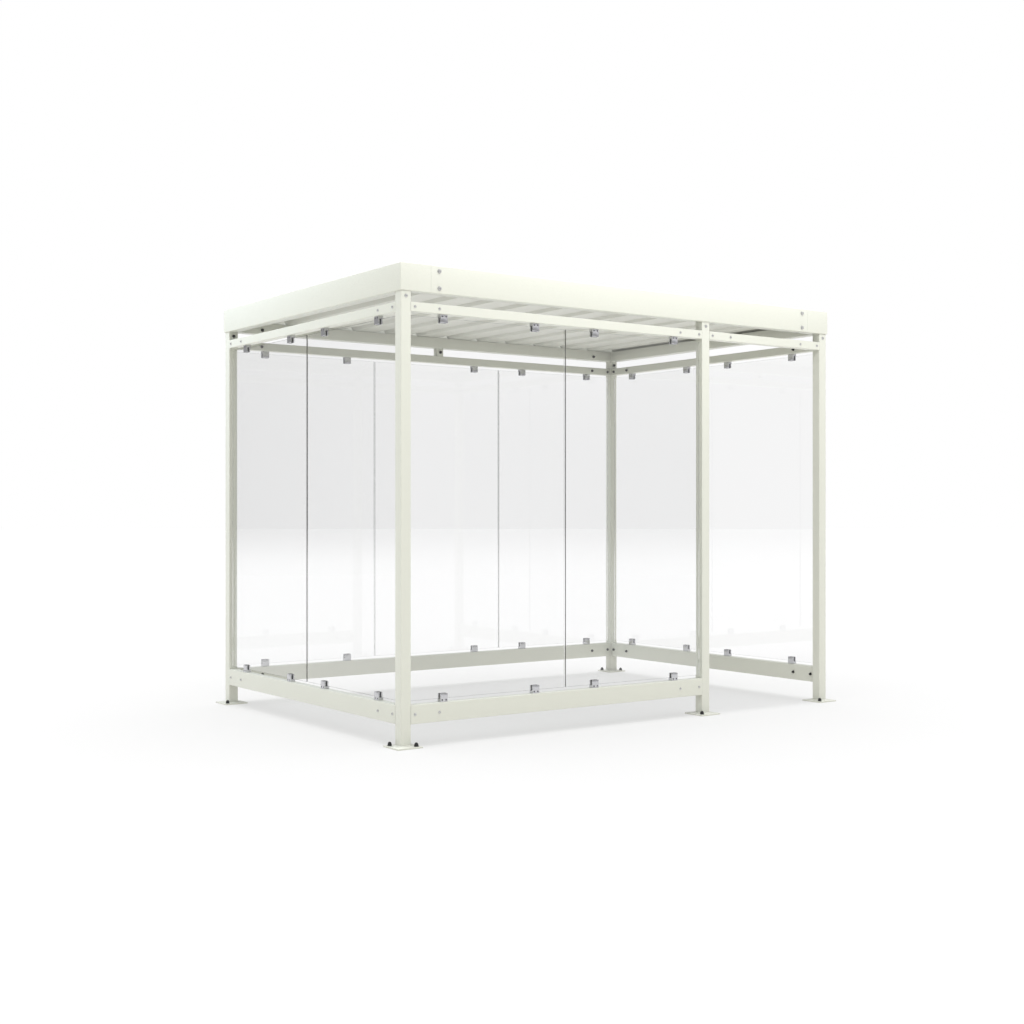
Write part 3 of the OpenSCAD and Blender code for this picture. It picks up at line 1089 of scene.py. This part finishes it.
def makeGreyWall():
    # a round wall far off, dark above its foot, which only reflections show
    material, tree = emptyMaterial("greyWall")
    place = addNode(tree, "ShaderNodeTexCoord").outputs["Object"]
    split = addNode(tree, "ShaderNodeSeparateXYZ")
    tree.links.new(place, split.inputs[0])
    radius = wallLook["radius"]
    foot = spreadOf(tree, split.outputs["Z"], 0, wallLook["foot"], 0, 1, "SMOOTHSTEP")
    depth = spreadOf(tree, split.outputs["X"], -radius, radius, *wallLook["depth"], "SMOOTHSTEP")
    stretch = spreadOf(tree, split.outputs["X"], -radius, radius, *wallLook["stretch"], "SMOOTHSTEP")
    climb = mathOf(tree, "DIVIDE", split.outputs["Z"], stretch)
    fade = spreadOf(tree, climb, wallLook["fade"], wallLook["height"], 1, 0, "SMOOTHSTEP")
    dark = mathOf(tree, "MULTIPLY", mathOf(tree, "MULTIPLY", foot, fade), depth)
    glow = addNode(tree, "ShaderNodeEmission")
    tree.links.new(mathOf(tree, "SUBTRACT", 1.0, dark), glow.inputs["Strength"])
    glossyDepth = addNode(tree, "ShaderNodeLightPath").outputs["Glossy Depth"]
    mix = addNode(tree, "ShaderNodeMixShader")
    output = addNode(tree, "ShaderNodeOutputMaterial")
    tree.links.new(mathOf(tree, "GREATER_THAN", glossyDepth, 0.5), mix.inputs[0])
    tree.links.new(addNode(tree, "ShaderNodeBsdfTransparent").outputs[0], mix.inputs[1])
    tree.links.new(glow.outputs[0], mix.inputs[2])
    tree.links.new(mix.outputs[0], output.inputs["Surface"])
    shape = bmesh.new()
    turns = [2 * math.pi * i / roundSides for i in range(roundSides)]
    lower, upper = [[shape.verts.new((radius * math.cos(turn), radius * math.sin(turn), height))
                     for turn in turns] for height in (0, wallLook["height"])]
    for i in range(roundSides):
        j = (i + 1) % roundSides
        shape.faces.new((lower[i], lower[j], upper[j], upper[i]))
    wall = addObject("grey_wall", meshOf(shape, "grey_wall"))
    wall.data.materials.append(material)
    wall.visible_camera = False
    wall.visible_diffuse = False
    wall.visible_shadow = False


sunLook = {"strength": 0.68, "angle": 3.7, "height": 8.0}   # the angle is the width of the shadow's edge


def makeSun():
    sun = bpy.data.lights.new("overhead", "SUN")
    sun.energy = sunLook["strength"]
    sun.angle = math.radians(sunLook["angle"])
    addObject("overhead", sun).location = (0, 0, sunLook["height"])


panelLook = {   # soft lights high at the front and high behind on the left
    "frontPanel": {"power": 70, "color": (0.98, 0.985, 1.03),
                   "place": (0.2, -3.4, 4.45), "size": (4.6, 1.2), "aim": (0.1, -1.08, 2.3)},
    "sidePanel": {"power": 77, "color": (0.87, 0.95, 1.10),
                  "place": (-3.6, 1.7, 4.6), "size": (1.2, 2.4), "aim": (-1.6, 1.0, 2.3)},
}


def makePanels():
    # the top of the roof sheet is close under the panels: they leave it and the floor unlit
    apart = bpy.data.collections.new("apartFromPanels")
    for name in ("roof_sheet_rolled", "floor"):
        apart.objects.link(bpy.data.objects[name])
    for member in apart.collection_objects:
        member.light_linking.link_state = "EXCLUDE"
    for name, look in panelLook.items():
        panel = bpy.data.lights.new(name, "AREA")
        panel.shape = "RECTANGLE"
        panel.size, panel.size_y = look["size"]
        panel.energy = look["power"]
        panel.color = look["color"]
        lamp = addObject(name, panel)
        lamp.location = look["place"]
        aim = Vector(look["aim"]) - Vector(look["place"])
        lamp.rotation_euler = aim.to_track_quat("-Z", "Y").to_euler()
        lamp.light_linking.receiver_collection = apart
        lamp.visible_camera = False
        lamp.visible_glossy = False
        lamp.visible_transmission = False


cameraLook = {
    "place": (-5.380, -7.368, 1.220),
    "yaw": -35.53,
    "lens": 50.13,
    "sensor": 36.0,
    "shiftY": -0.0007,
    "farEnd": 300.0,
}


def makeCamera():
    data = bpy.data.cameras.new("camera")
    data.lens = cameraLook["lens"]
    data.sensor_width = cameraLook["sensor"]
    data.shift_y = cameraLook["shiftY"]
    data.clip_end = cameraLook["farEnd"]
    camera = addObject("camera", data)
    camera.location = cameraLook["place"]
    camera.rotation_euler = (math.radians(90), 0, math.radians(cameraLook["yaw"]))
    bpy.context.scene.camera = camera


makeWorld()
makeFloor()
makeGreyWall()
makeSun()
makePanels()
makeCamera()
scene.view_settings.view_transform = "Standard"
scene.cycles.transparent_max_bounces = 24
scene.cycles.diffuse_bounces = 1
print("studio done")
